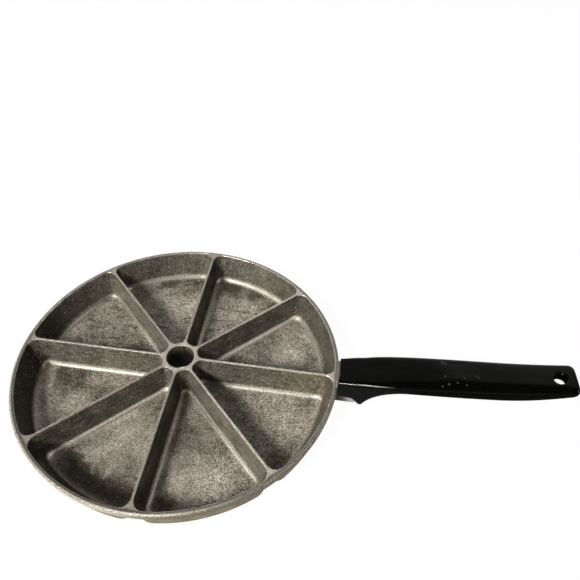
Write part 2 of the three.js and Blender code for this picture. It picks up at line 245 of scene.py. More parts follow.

# Lighter, darker and pitted places on the floors: azimuth in degrees, radius, reach, strength. The lighter
# places are abraded metal, some of them painted light where a lamp's shadow falls; the darker ones are
# soiled metal, some of them painted shade near the hub and the rim
WORN_AND_LIT_PLACES = (
    (28, 92, 24, 1), (66, 83, 22, 1), (78, 74, 18, 1), (84, 53, 8, 1), (106, 72, 26, 1), (112, 55, 12, 1),
    (124, 82, 16, 1), (113, 44, 12, 1), (277, 72, 9, 1), (150, 84, 14, 0.4), (207, 80, 18, 0.6),
    (191, 67, 8, 0.6), (240, 62, 28, 1), (257, 58, 22, 1), (238, 82, 12, 0.8), (296, 92, 26, 1),
    (283, 84, 14, 1), (345, 88, 26, 0.8),
)
STAINED_AND_SHADED_PLACES = (
    (22, 38, 16, 0.2), (52, 105, 11, 0.8), (66, 105, 11, 0.8), (80, 105, 9, 0.8), (62, 40, 14, 0.7),
    (98, 105, 9, 0.8), (112, 105, 10, 0.8), (160, 44, 20, 0.7), (170, 66, 12, 0.5), (148, 60, 14, 0.4),
    (189, 88, 20, 0.55), (232, 78, 13, 0.3), (275, 92, 10, 0.25), (277, 106, 12, 0.9), (288, 55, 16, 0.2),
)
PITTED_PLACES = (
    (193, 84, 24, 1), (205, 66, 16, 0.7), (68, 84, 24, 0.8), (60, 60, 16, 0.6), (160, 80, 20, 0.5),
)
SPOT_CORE = 0.2
SPOT_FADE = 1.15

# Painted shadows of some dividers on the floor beside them: azimuth of the divider in degrees, width,
# strength
PAINTED_SHADOW_STRIPS = ((315, 25, 0.12), (270, 11, 0.1))
STRIP_START = metres(-3, 0)
STRIP_HUB = metres(0, 10)
STRIP_SOFTNESS = 4

# Grain on the metal: waves to the metre, detail, roughness
SPECKLE = (1500, 2, 0.8)
MOTTLE = (300, 3, 0.65)
# Places of the painted glints
GLINT_NOISE = (700, 1, 0.6)
BLOTCHES = (80, 6, 0.6)
PATCHES = (24, 3, 0.6)
STREAKS = (330, 4, 0.7)
PITS = (650, 3, 0.7)
DIVIDER_RUBS = (520, 3, 0.6)
RIM_RUBS = (480, 4, 0.75)
TURNED_LINES = (700, 3, 0.6)
TURNED_TONES = (300, 4, 0.6)

# How much the streaks, the rubs and the turned lines are drawn out along the metal
STREAK_STRETCH = (0.14, 1, 1)
DIVIDER_STRETCH = 0.12
DIVIDER_TURN = 0.03
RIM_RUB_STRETCH = 0.4
TURNED_STRETCH = (1, 1, 6)

# How far noise moves a place: waves to the metre, millimetres
WAVY = (45, 6)
RAGGED = (70, 12)
SCUFF_WANDER = (1100, 1.6)
WANDER_DETAIL = 4
WANDER_ROUGHNESS = 0.65
MIDDLE_GREY = (0.5, 0.5, 0.5)

# Where each kind of surface on the casting starts and ends: radii, heights, lengths and upward slopes
RIM_WALL_ZONE = metres(RIM_RADIUS - 12, RIM_RADIUS - 8)
RIM_LAND_ZONE = metres(RIM_RADIUS - 4.4, RIM_RADIUS - 3.2)
OUTSIDE_ZONE = metres(RIM_RADIUS - 2.4, RIM_RADIUS - 1.2)
LINE_START = metres(RIM_RADIUS - 2.7, RIM_RADIUS - 2.3)
LINE_END = metres(RIM_RADIUS - 1.8, RIM_RADIUS - 1.2)
RIGHT_EDGE_ZONE = metres(RIM_RADIUS - 2.1, RIM_RADIUS - 1.5)
FLOOR_HEIGHTS = metres(FLOOR + 7, FLOOR + 9)
TOP_HEIGHTS = metres(RIM_HEIGHT - 1.2, RIM_HEIGHT - 0.4)
BORE_RADII = metres(HUB_BORE / 2 + 0.05, HUB_BORE / 2 + 0.25)
BORE_HEIGHTS = metres(17, RIM_HEIGHT)
ROOT_HEIGHTS = metres(RIM_HEIGHT - ROOT_DROP + 1, RIM_HEIGHT - ROOT_DROP)
TONGUE_START = metres(SEAT_RADIUS - 1, SEAT_RADIUS)
TONGUE_LENGTH = metres(SEAT_RADIUS, SEAT_RADIUS + TONGUE_REACH - 2)
LEVEL_SLOPE = (0.8, 0.98)
FILLET_START = (0.2, 0.65)
FILLET_END = (0.78, 0.98)
UNDERSIDE_SLOPE = (-0.12, -0.04)

# Sides of the pan, from the hub
RIGHT_SIDE = metres(0, 60)
FAR_RIGHT = metres(50, 90)
LEFT_OF_HUB = metres(-20, 10)
BEHIND_HUB = metres(0, 20)
BACK_HALF = metres(0, 50)
FRONT = metres(-50, -20)
LEFT_OF_RIGHT = metres(20, 50)
HUB_LANDS = metres(13, 20)
LIT_BAND_REACH = metres(0.8 * RIM_RADIUS, 0.99 * RIM_RADIUS)
DARK_RIM_REACH = metres(0.5 * RIM_RADIUS, 0.9 * RIM_RADIUS)

# Lighter ring on the left floors, and a band of painted shadow of the front-left rim on its floor, with
# azimuths in radians
RING_RADII = metres(96, 100)
RING_LEFT = metres(-70, -45)
RING_BACK_SHARE = 0.4
SHADED_RADII = metres(90, 95)
SHADED_START = (-2.32, -2.2)
SHADED_END = (-1.75, -1.6)
SHADED_SHARE = 0.85

# Floors: what their light and dark come from, and how much marks, painted light and painted shade add to it
# or take from it
BLOTCH_SHARE = 0.6
PATCH_SHARE = 0.4
WEAR_SPAN = (0.34, 0.66)
WEAR_LEVELS = (0.15, 0.68)
WORN_AND_LIT_GAIN = 0.4
STAIN_AND_SHADE_LOSS = 0.7
STREAK_SPAN = (0.55, 0.63)
STREAK_LOSS = 0.6
STREAKED_AZIMUTHS = (0.7, 0.85)
STREAKS_ELSEWHERE = 0.3
PIT_SPAN = (0.53, 0.6)
PIT_LOSS = 0.5

# Walls: how they are painted lighter and darker as light falls on them, and get rub marks, scrapes and
# olive
WHOLE = (0, 1)
EVERY_WAY = (-1, 1)
NOISE_SPAN = (0.35, 0.65)
LIGHT_POWER = 1.6
GREY_SPAN = (0.76, 0.95)
GREY_SHARE = 0.6
WALL_BLOTCHES = 0.5
RUB_LIGHT = (0.54, 0.66)
RUB_DARK = (0.46, 0.36)
RUBBING = (0.5, 0.35)
SCRAPED_FACING = (-0.94, -0.86)
SCRAPED_SHARE = 0.5
SCRAPED_SPAN = (0.5, 0.6)
OLIVE_PLACE = metres(102, -4, 16)
OLIVE_REACH = metres(10, 35)
OLIVE_SHARE = 0.5
OLIVE_MOTTLE = (0.35, 0.6)
OLIVE_THIN = 0.4
RIGHT_RIM_SHARE = 0.45

# Fillets: how much they are painted bright, as rub-polished metal and as a painted highlight, by the way
# they face and their place
FRONT_FACING = (-0.6, -0.48)
BRIGHT_FILLETS = (0.54, 0.66)
RIM_FILLET_SHARE = 0.5
FILLET_SHARES = (0.6, 0.3)
SHADED_FRONT_RIM_SHARE = 0.6

# Lands, rim and band: painted glints, lines and sides
GLINT_SPAN = (0.66, 0.73)
GLINT_SHARES = (0.4, 0.05)
HUB_LAND_SHARE = 0.7
RIGHT_EDGE_SHARE = 0.75
LINE_MOTTLE = (0.35, 0.5)
LINE_SHARES = (0.15, 0.65)

# Grain in the casting's tone, and how far each kind of surface evens it out
SPECKLE_SPAN = (0.36, 0.64)
SPECKLE_CONTRAST = 2
MOTTLE_LEVELS = (0.88, 1.12)
EVEN_FILLET = 0.5
EVEN_TOP = 0.25
EVEN_BAND = 0.75
EVEN_FRONT = 0.3
EVEN_BELOW = 0.6

# Shine of the casting
METAL = 0.35
RIM_METAL = 0.5
FILLET_METAL = 0.75
FRONT_FILLET_METAL = 0.45
OUTSIDE_METAL = 0.4
ROUGH_SPAN = (0.3, 0.7)
ROUGH_LEVELS = (0.46, 0.38)
TOP_SMOOTHER = 0.12
OUTSIDE_ROUGHER = 0.3
FILLET_SMOOTHER = 0.06
BORE_ROUGHER = 0.5
CAST_SPECULAR = 0.2
BLOTCH_RELIEF = 2
RELIEF = 0.45
CALM_RELIEF = 0.36
RELIEF_DEPTH = 0.28

# Handle's tones, and its scuffs: reach, across, size
PHENOLIC = (0.0012, 0.0012, 0.0011, 1)
# Light tone of scuffs and dust, and of the painted highlight on the root's near edge
RUBBED_AND_HIGHLIGHT = (0.34, 0.33, 0.31, 1)
SCUFFS = (
    (72, 9.6, 1.6), (74, 8.4, 1.1), (72.8, -2.9, 0.9), (75, -9.4, 1.1), (80.7, -7.7, 1.1),
    (85.9, -3.5, 0.9), (93.8, -1.4, 0.9), (70.6, -11, 1), (87, -9, 0.8), (95.5, -2.6, 0.6),
)
SCUFF_CORE = 0.3
SCUFF_SHARE = 0.14
SCUFF_SLOPE = (0.2, 0.5)

# Painted highlight along the root's near edge, drawn as a rub mark: its upward slope, the way it faces, its
# reach and the breaks in it
EDGE_START = (0.58, 0.66)
EDGE_END = (0.78, 0.86)
NEAR_FACING = (-0.3, -0.2)
EDGE_REACH = metres(22, 40)
BREAKS = (420, 3, 0.6)
BREAK_STRETCH = (1, 0.1, 0.1)
BREAK_SPAN = (0.34, 0.44)
BREAK_FAINT = 0.35

# Gloss and dust of the handle
DUST = (800, 2, 0.6)
DUST_SPAN = (0.66, 0.76)
DUST_SHARE = 0.02
SMEARS = (90, 4, 0.6)
SMEAR_STRETCH = (0.3, 1, 1)
SMEAR_GLOSS = 0.75
FLANK_SLOPE = (0.3, 0.8)
FLANK_REACH = metres(25, 60)
FLANK_GLOSS = (0.4, 0.1)
DULL_GLOSS = 0.1
HOLE_RADII = metres(HANG_HOLE / 2 + 0.2, HANG_HOLE / 2 + 0.6)
PHENOLIC_ROUGHNESS = 0.6
COAT_IOR = 1.22
COAT_ROUGHNESS = 0.1

# Turned metal of the screw, washer and insert
STEEL = (0.56, 0.55, 0.53, 1)
STEEL_DARK = (0.3, 0.28, 0.25, 1)
BRASS = (0.72, 0.52, 0.22, 1)
BRASS_DARK = (0.4, 0.28, 0.12, 1)
TURNED_LEVELS = (0.22, 0.45)
TURNED_RELIEF = 0.2
TURNED_DEPTH = 0.1

# Floor and lamps: metres and shares of white; each lamp's azimuth and elevation in degrees, size and watts
FLOOR_REACH = 30
WHITE = (1, 1, 1, 1)
FLOOR_PAINT = (0.85, 0.85, 0.85, 1)
FLOOR_WHITE = 0.97
LAMP_DISTANCE = 2
LAMP_COLOUR = (1, 0.97, 0.93)
LAMPS = {
    "key": (242, 45, 0.45, 54),
    "fill": (195, 28, 1, 12),
    "sheen": (98, 46.5, 1.3, 1.3),
    "side": (60, 43, 1, 1.6),
    "right": (12, 46, 0.9, 5),
}

# Room: shares of white, the elevations in degrees where they change, and the sides where they fall off
ROOM_WALLS = (0.25, 0.03)
ROOM_RIGHT = 0.15
ROOM_FRONT = 0.1
WALL_ELEVATIONS = (45, 68)
HORIZON_ELEVATIONS = (10, 22)
BACKDROP_ELEVATIONS = (28, 38)
ROOM_RIGHT_SIDE = (-0.1, 0.6)
ROOM_BACK_SIDE = (-0.4, 0.1)


# Mesh building

def linked(name, data):
    """New object in the scene."""
    made = bpy.data.objects.new(name, data)
    bpy.context.scene.collection.objects.link(made)
    return made


def mesh_object(name, points, faces):
    """Object from points in millimetres round the pan's axis, placed in the part's frame."""
    placed = (np.asarray(points, float) + (PAN_X, 0, 0)) * MM
    mesh = bpy.data.meshes.new(name)
    mesh.from_pydata(placed.tolist(), [], faces)
    return linked(name, mesh)


def loft(name, loops):
    """Closed mesh through loops of equal counts, each anticlockwise about the way they follow."""
    count = len(loops[0])
    last = (len(loops) - 1) * count
    faces = [tuple(reversed(range(count))), tuple(range(last, last + count))]
    for start in range(0, last, count):
        for k in range(count):
            a = start + k
            b = start + (k + 1) % count
            faces.append((a, b, b + count, a + count))
    return mesh_object(name, np.concatenate(loops), faces)


def turned(name, profile, steps=SMALL_TURN_STEPS):
    """Solid of revolution about the pan's axis, from (radius, height) points that follow upwards."""
    angles = np.arange(steps) * 2 * math.pi / steps
    circle = np.stack([np.cos(angles), np.sin(angles)], axis=1)
    loops = [np.column_stack([circle * radius, np.full(steps, height)]) for radius, height in profile]
    return loft(name, loops)


def extruded(name, outline, low, high, place=lambda x, y, z: (x, y, z)):
    """Prism of an outline between two heights; place turns (x, y, height) into a point."""
    loops = [np.array([place(x, y, height) for x, y in outline]) for height in (low, high)]
    return loft(name, loops)


def round_edges(made, width, steps=ROUND_STEPS):
    """Rounds every edge of a mesh that turns sharply."""
    shape = bmesh.new()
    shape.from_mesh(made.data)
    sharp = [edge for edge in shape.edges if edge.calc_face_angle(0) > SHARP_ANGLE]
    bmesh.ops.bevel(
        shape, geom=sharp, offset=width * MM, segments=steps, profile=CIRCULAR, affect="EDGES",
    )
    shape.to_mesh(made.data)
    shape.free()
    return made


def slope(degrees):
    """Run for each unit of rise of a line leaning by some degrees."""
    return math.tan(math.radians(degrees))


def ray(angle):
    """Unit vector at an angle."""
    return np.array([math.cos(angle), math.sin(angle)])


def quarter(steps):
    """Angles of a quarter turn, from 0."""
    return np.linspace(0, math.pi / 2, steps + 1)


def rounded(radius, height, size):
    """(radius, height) points of a quarter round up to a height, outwards, or inwards if negative."""
    return [
        (radius + size * (1 - math.cos(angle)), height - abs(size) * (1 - math.sin(angle)))
        for angle in quarter(EDGE_STEPS)
    ]


def combined(name, base, joined, cutters):
    """One mesh of a base with solids joined to it and others cut from it; the makings are removed."""
    for operation, others in (("UNION", joined), ("DIFFERENCE", cutters)):
        for other in others:
            modifier = base.modifiers.new(operation, "BOOLEAN")
            modifier.operation = operation
            modifier.object = other
            modifier.solver = "MANIFOLD"
    evaluated = base.evaluated_get(bpy.context.evaluated_depsgraph_get())
    mesh = bpy.data.meshes.new_from_object(evaluated)
    for used in (base, *joined, *cutters):
        bpy.data.objects.remove(used)
    mesh.name = name
    return linked(name, mesh)


def at_screw(made):
    """Moves a mesh made round the pan's axis to the screw's axis."""
    made.data.transform(Matrix.Translation((SCREW_X * MM, 0, 0)))
    return made


def smooth(made):
    """Smooth shading between faces that turn gently, with flat faces kept flat."""
    made.data.shade_smooth()
    made.data.set_sharp_from_angle(angle=SHARP_ANGLE)
    weighted = made.modifiers.new("flat_faces", "WEIGHTED_NORMAL")
    weighted.keep_sharp = True


# Pan casting

def wedge_half(inset, rim_inset, rim_corner, hub_corner):
    """Half of a well's outline beside the divider on +X: from the hub, along the divider, to the rim."""
    bisector = SECTOR / 2
    side = DIVIDER_LAND / 2 + inset
    rim = RIM_RADIUS - RIM_LAND - rim_inset
    hub = HUB_BORE / 2 + HUB_LAND + inset

    hub_ratio = min(1, (side + hub_corner) / (hub + hub_corner))
    hub_angle = min(bisector, math.asin(hub_ratio))
    hub_middle = (side + hub_corner) / math.sin(hub_angle) * ray(hub_angle)
    hub_arc = hub * (bisector - hub_angle)
    corner_arc = hub_corner * (math.pi / 2 - hub_angle)
    points = []
    for along in np.linspace(0, hub_arc + corner_arc, HUB_STEPS + 1):
        if along < hub_arc:
            points.append(hub * ray(bisector - along / hub))
        else:
            angle = hub_angle + math.pi + (along - hub_arc) / hub_corner
            points.append(hub_middle + hub_corner * ray(angle))

    rim_angle = math.asin((side + rim_corner) / (rim - rim_corner))
    rim_middle = (rim - rim_corner) * ray(rim_angle)
    start = points[-1]
    corner = [
        rim_middle + rim_corner * ray(angle)
        for angle in np.linspace(-math.pi / 2, rim_angle, CORNER_STEPS + 1)
    ]
    points += [start + (corner[0] - start) * share for share in np.linspace(0, 1, SIDE_STEPS + 1)[1:-1]]
    points += corner
    points += [rim * ray(angle) for angle in np.linspace(rim_angle, bisector, RIM_STEPS + 1)[1:]]
    return np.array(points)


def wedge_loop(height, inset, rim_inset, rim_corner, hub_corner):
    """Whole outline of the well between the divider on +X and the next one, at one height."""
    near = wedge_half(inset, rim_inset, rim_corner, hub_corner)
    radius = np.hypot(*near.T)
    angle = SECTOR - np.arctan2(near[:, 1], near[:, 0])
    far = np.stack([radius * np.cos(angle), radius * np.sin(angle)], axis=1)[1:-1][::-1]
    plan = np.concatenate([near, far])
    return np.column_stack([plan, np.full(len(plan), height)])


def wall_inset(drop, draft, fillet, wall, floor):
    """How far in a wall stands at a drop: drafted, then curved, moved out by a wall and down by a floor."""
    foot = WELL_DEPTH - fillet
    into_fillet = max(0, drop - foot) / (fillet + floor)
    curve = 1 - math.sqrt(max(0, 1 - into_fillet ** 2))
    return min(drop, foot) * slope(draft) - wall + (fillet + wall) * curve


def surface_loops(wall, floor, rim_draft, top_drop, hub_corner):
    """Loops of a well's surface from its floor up, moved out by a wall and down by a floor."""
    fillet = max(FLOOR_FILLET, RIM_FILLET)
    foot = WELL_DEPTH - fillet
    drops = [foot + (fillet + floor) * math.sin(angle) for angle in reversed(quarter(FILLET_STEPS))]
    drops += np.linspace(foot, top_drop, WALL_STEPS + 1)[1:].tolist()
    loops = []
    for drop in drops:
        inset = wall_inset(drop, WELL_DRAFT, FLOOR_FILLET, wall, floor)
        rim_inset = wall_inset(drop, rim_draft, RIM_FILLET, wall, floor)
        loops.append(wedge_loop(RIM_HEIGHT - drop, inset, rim_inset, RIM_CORNER + wall, hub_corner))
    return floor_loops(loops[0]) + loops


def floor_loops(edge):
    """Rings of a flat floor inside its edge."""
    middle = edge.mean(axis=0)
    return [middle + (edge - middle) * share for share in FLOOR_RINGS]


def well(k):
    """Hollow of one well, with its upper edge opening over the lands in a small round."""
    loops = surface_loops(0, 0, RIM_DRAFT, LAND_ROUND, HUB_CORNER)
    for angle in reversed(quarter(ROUND_STEPS)):
        drop = LAND_ROUND * (1 - math.cos(angle))
        spread = LAND_ROUND * (1 - math.sin(angle))
        inset = drop * slope(WELL_DRAFT) - spread
        rim_inset = drop * slope(RIM_DRAFT) - spread
        loops.append(wedge_loop(RIM_HEIGHT - drop, inset, rim_inset, RIM_CORNER, HUB_CORNER))
    loops.append(wedge_loop(RIM_HEIGHT + CUT_MARGIN, -LAND_ROUND, -LAND_ROUND, RIM_CORNER, HUB_CORNER))
    return loft("well", turn_loops(loops, k))


def cup(k):
    """Outside of one well, under the rim's band."""
    loops = surface_loops(WALL, FLOOR, CUP_DRAFT, RIM_BAND / 2, CUP_HUB_CORNER)
    return loft("cup", turn_loops(loops, k))


def turn_loops(loops, k):
    """Loops turned about the hub to the k-th sector."""
    turn = np.array(Matrix.Rotation(SECTOR * k, 3, "Z"))
    return [loop @ turn.T for loop in loops]


def rim_plate():
    """Disc as wide as the rim, with its chamfered, drafted band and its rounded top edge."""
    bottom = RIM_HEIGHT - RIM_BAND
    foot = RIM_RADIUS - (RIM_BAND - RIM_ROUND - BAND_CHAMFER) * slope(BAND_DRAFT)
    profile = [(foot - BAND_CHAMFER, bottom), (foot, bottom + BAND_CHAMFER)]
    profile += rounded(RIM_RADIUS, RIM_HEIGHT, -RIM_ROUND)
    return turned("rim", profile, TURN_STEPS)


def hub_bore():
    """Hole through the hub, with a rounded upper edge."""
    bore = HUB_BORE / 2
    profile = [(bore, -CUT_MARGIN)]
    profile += rounded(bore, RIM_HEIGHT, HUB_EDGE)
    profile.append((bore + HUB_EDGE, RIM_HEIGHT + CUT_MARGIN))
    return turned("bore", profile)


def ring_slice(name, inner, outer, width, bottom, top):
    """Upright slice of a ring about the hub's axis, centred on +X."""
    reach = math.asin(width / 2 / outer)
    angles = np.linspace(-reach, reach, CURVE_STEPS + 1)
    outline = [outer * ray(angle) for angle in angles]
    outline += [inner * ray(angle) for angle in reversed(angles)]
    return extruded(name, outline, bottom, top)


def bend(start, control, end):
    """Points of a quadratic curve, without its start."""
    shares = np.linspace(0, 1, CURVE_STEPS + 1)[1:, None]
    start, control, end = (np.array(p, float) for p in (start, control, end))
    return (1 - shares) ** 2 * start + 2 * shares * (1 - shares) * control + shares ** 2 * end


def tongue():
    """Bar under the handle's root, with a nose that curves up to the handle's arch."""
    top = -ROOT_DROP - CONTACT
    bottom = -TONGUE_DROP
    nose_top = (ARCH_REACH - NOSE_ROUND - TONGUE_ROUND, top)
    outline = [(-BOSS_DEPTH, top), (-BOSS_DEPTH, bottom), (TONGUE_REACH - NOSE_ROUND, bottom)]
    outline += bend(outline[-1], (TONGUE_REACH, bottom), (TONGUE_REACH, bottom + NOSE_ROUND)).tolist()
    outline += bend(outline[-1], (TONGUE_REACH, top), nose_top).tolist()
    half = TONGUE_WIDTH / 2
    made = extruded("tongue", outline, -half, half, lambda x, y, z: (SEAT_RADIUS + x, -z, RIM_HEIGHT + y))
    return round_edges(made, TONGUE_ROUND)


def pan_casting():
    """Rim, cups, hub sleeve, handle seat and tongue in one, with the wells and holes cut."""
    band_middle = RIM_HEIGHT - RIM_BAND / 2
    seat_top = RIM_HEIGHT + SEAT_RISE
    sleeve_radius = HUB_BORE / 2 + HUB_LAND + SLEEVE_FLARE
    screw_radius = SCREW_DIAMETER / 2 + FIT
    sleeve = [(sleeve_radius, SLEEVE_LIFT), (sleeve_radius, RIM_HEIGHT - CUT_MARGIN)]
    screw_hole = [(screw_radius, TONGUE_BOTTOM - CUT_MARGIN), (screw_radius, RIM_HEIGHT - ROOT_DROP)]

    lip = ring_slice("lip", SEAT_RADIUS - SEAT_LIP, SEAT_RADIUS, SEAT_WIDTH, band_middle, seat_top)
    boss_back = SEAT_RADIUS - BOSS_DEPTH - TONGUE_ROUND
    boss_width = TONGUE_WIDTH - 2 * TONGUE_ROUND
    boss = ring_slice("boss", boss_back, SEAT_RADIUS, boss_width, TONGUE_BOTTOM + TONGUE_ROUND, band_middle)
    joined = [cup(k) for k in range(WELL_COUNT)]
    joined += [
        turned("sleeve", sleeve),
        round_edges(lip, SEAT_ROUND),
        boss,
        tongue(),
    ]
    hole = at_screw(turned("screw_hole", screw_hole))
    cutters = [well(k) for k in range(WELL_COUNT)]
    cutters += [hub_bore(), hole]
    return combined("pan_casting_fine", rim_plate(), joined, cutters)


# Handle

def handle_top(reach):
    """Height of the handle's top line above the rim, at a reach from the seat."""
    share = reach / HANDLE_LENGTH
    bow = 4 * TOP_CROWN * share * (1 - share) + TOP_SWAY * math.sin(2 * math.pi * share)
    return TOP_RISE + reach * slope(HANDLE_TILT) + bow


def handle_underside():
    """(reach, height above the rim) along the handle's underside: arch, guard, neck, belly, end."""
    guard_left = GUARD_REACH - GUARD_ROUND
    guard_right = GUARD_REACH + GUARD_ROUND
    guard_tip = -GUARD_DROP - GUARD_ROUND / 2
    guard_side = -GUARD_DROP + GUARD_ROUND / 2
    neck = handle_top(NECK_REACH) - NECK_THICKNESS
    hollow_reach = guard_right + HOLLOW_RUN
    hollow = neck - (NECK_REACH - hollow_reach) * slope(HANDLE_TILT)
    palm = handle_top(PALM_REACH) - PALM_THICKNESS
    belly = handle_top(BELLY_REACH) - BELLY_THICKNESS
    heel = handle_top(HEEL_REACH) - HEEL_THICKNESS
    end = handle_top(HANDLE_LENGTH) - END_THICKNESS
    line = [(-SEAT_LIP, -ROOT_DROP), (ARCH_REACH / 2, -ROOT_DROP), (ARCH_REACH, -ROOT_DROP)]
    for control, stop in (
        (((ARCH_REACH + guard_left) / 2, -ROOT_DROP), (guard_left, guard_side)),
        ((GUARD_REACH, guard_tip), (guard_right, guard_side)),
        ((hollow_reach, hollow), (NECK_REACH, neck)),
        ((PALM_REACH, palm), (BELLY_REACH, belly)),
        ((HEEL_REACH, heel), (HANDLE_LENGTH, end)),
    ):
        line += bend(line[-1], control, stop).tolist()
    return np.array(line)


def handle_side():
    """(reach, half width) along the handle in plan."""
    line = [(-SEAT_LIP, ROOT_WIDTH / 2), (0, ROOT_WIDTH / 2)]
    line += bend(line[-1], (SHOULDER_REACH, GRIP_WIDTH / 2), (GRIP_REACH, GRIP_WIDTH / 2)).tolist()
    end_control = ((GRIP_REACH + HANDLE_LENGTH) / 2, GRIP_WIDTH / 2)
    line += bend(line[-1], end_control, (HANDLE_LENGTH, END_WIDTH / 2)).tolist()
    return np.array(line)


def handle_section(reach, underside, side):
    """Loop across the handle: square-edged at the root, rounder along the grip."""
    into_end = max(0, reach - HANDLE_LENGTH + END_ROUND) / END_ROUND
    end_round = 1 - math.sqrt(max(0, 1 - into_end ** 2))
    half = np.interp(reach, *side.T) - END_ROUND * end_round
    top = handle_top(reach) - END_BEVEL * end_round
    bottom = np.interp(reach, *underside.T) + END_BEVEL * end_round
    soft = min(1, max(0, reach / NECK_REACH))
    soft = soft * soft * (3 - 2 * soft)
    power = 2 / (ROOT_SQUARENESS + (GRIP_SQUARENESS - ROOT_SQUARENESS) * soft)
    angles = (np.arange(SECTION_STEPS) + 0.5) * 2 * math.pi / SECTION_STEPS
    across = np.sign(np.cos(angles)) * np.abs(np.cos(angles)) ** power
    up = np.sign(np.sin(angles)) * np.abs(np.sin(angles)) ** power
    heights = RIM_HEIGHT + (top + bottom) / 2 + (top - bottom) / 2 * up
    return np.column_stack([np.full(SECTION_STEPS, SEAT_RADIUS + reach), half * across, heights])


def hang_hole():
    """Hole through the handle's end, square to its top, with rounded rims."""
    reach = HANDLE_LENGTH - HANG_HOLE_INSET
    underside = handle_underside()
    thickness = handle_top(reach) - np.interp(reach, *underside.T)
    radius = HANG_HOLE / 2
    rim = rounded(radius, thickness / 2, HANG_HOLE_ROUND)
    rim.append((radius + HANG_HOLE_ROUND, thickness))
    profile = [(r, -z) for r, z in reversed(rim)] + rim
    hole = turned("hang_hole", profile)
    hole.data.transform(Matrix.Translation((-PAN_X * MM, 0, 0)))
    hole.data.transform(Matrix.Rotation(-math.radians(HANDLE_TILT), 4, "Y"))
    middle = RIM_HEIGHT + handle_top(reach) - thickness / 2
    hole.data.transform(Matrix.Translation(((PAN_X + SEAT_RADIUS + reach) * MM, 0, middle * MM)))
    return hole


def handle():
    """Lofted grip, with the seat's curve, the insert's pocket and the hang hole cut."""
    underside = handle_underside()
    side = handle_side()
    end_start = HANDLE_LENGTH - END_ROUND
    reaches = [reach for reach in underside[:, 0] if reach < end_start]
    reaches += [end_start + END_ROUND * math.sin(angle) for angle in quarter(CORNER_STEPS)]
    body = loft("grip", [handle_section(reach, underside, side) for reach in reaches])

    seat_bottom = RIM_HEIGHT - GUARD_DROP - GUARD_ROUND
    seat_top = RIM_HEIGHT + handle_top(0) + TOP_CROWN
    seat = ring_slice("seat", RIM_RADIUS / 2, SEAT_RADIUS + FIT, 2 * ROOT_WIDTH, seat_bottom, seat_top)
    pocket_radius = INSERT_DIAMETER / 2 + FIT
    pocket_top = RIM_HEIGHT - ROOT_DROP + INSERT_LENGTH + FIT
    pocket = turned("pocket", [(pocket_radius, seat_bottom), (pocket_radius, pocket_top)])
    return combined("handle_fine", body, [], [seat, at_screw(pocket), hang_hole()])


# Screw and washer

def block(name, low, high):
    """Plain box, for cutting."""
    outline = [(low[0], low[1]), (high[0], low[1]), (high[0], high[1]), (low[0], high[1])]
    return extruded(name, outline, low[2], high[2])


def handle_screw():
    """Round-head screw, head down, with its slot."""
    seat = TONGUE_BOTTOM - WASHER_THICKNESS - 2 * CONTACT
    bottom = seat - SCREW_HEAD_HEIGHT
    shank = SCREW_DIAMETER / 2
    tip = RIM_HEIGHT - ROOT_DROP + INSERT_LENGTH - FIT
    profile = [
        (SCREW_HEAD / 2 * math.sin(angle), seat - SCREW_HEAD_HEIGHT * math.cos(angle))
        for angle in np.linspace(DOME_START, math.pi / 2, CURVE_STEPS)
    ]
    profile += [(shank, seat), (shank, tip - SCREW_TIP), (shank - SCREW_TIP, tip)]
    half = SCREW_SLOT_WIDTH / 2
    slot_top = bottom + SCREW_SLOT_DEPTH
    slot = block("slot", (-SCREW_HEAD, -half, bottom - CUT_MARGIN), (SCREW_HEAD, half, slot_top))
    screw = turned("screw", profile)
    return at_screw(combined("handle_screw_fine", screw, [], [slot]))


def lock_washer():
    """Split spring washer."""
    top = TONGUE_BOTTOM - CONTACT
    bottom = top - WASHER_THICKNESS
    outer = WASHER_DIAMETER / 2
    inner = SCREW_DIAMETER / 2 + FIT
    ring = turned("ring", [(outer, bottom), (outer, top)])
    hole = turned("hole", [(inner, bottom - CUT_MARGIN), (inner, top + CUT_MARGIN)])
    half = WASHER_SPLIT / 2
    split = block("split", (0, -half, bottom - CUT_MARGIN), (WASHER_DIAMETER, half, top + CUT_MARGIN))
    washer = combined("lock_washer_fine", ring, [], [hole, split])
    return at_screw(round_edges(washer, WASHER_ROUND, WASHER_ROUND_STEPS))


# Shader building

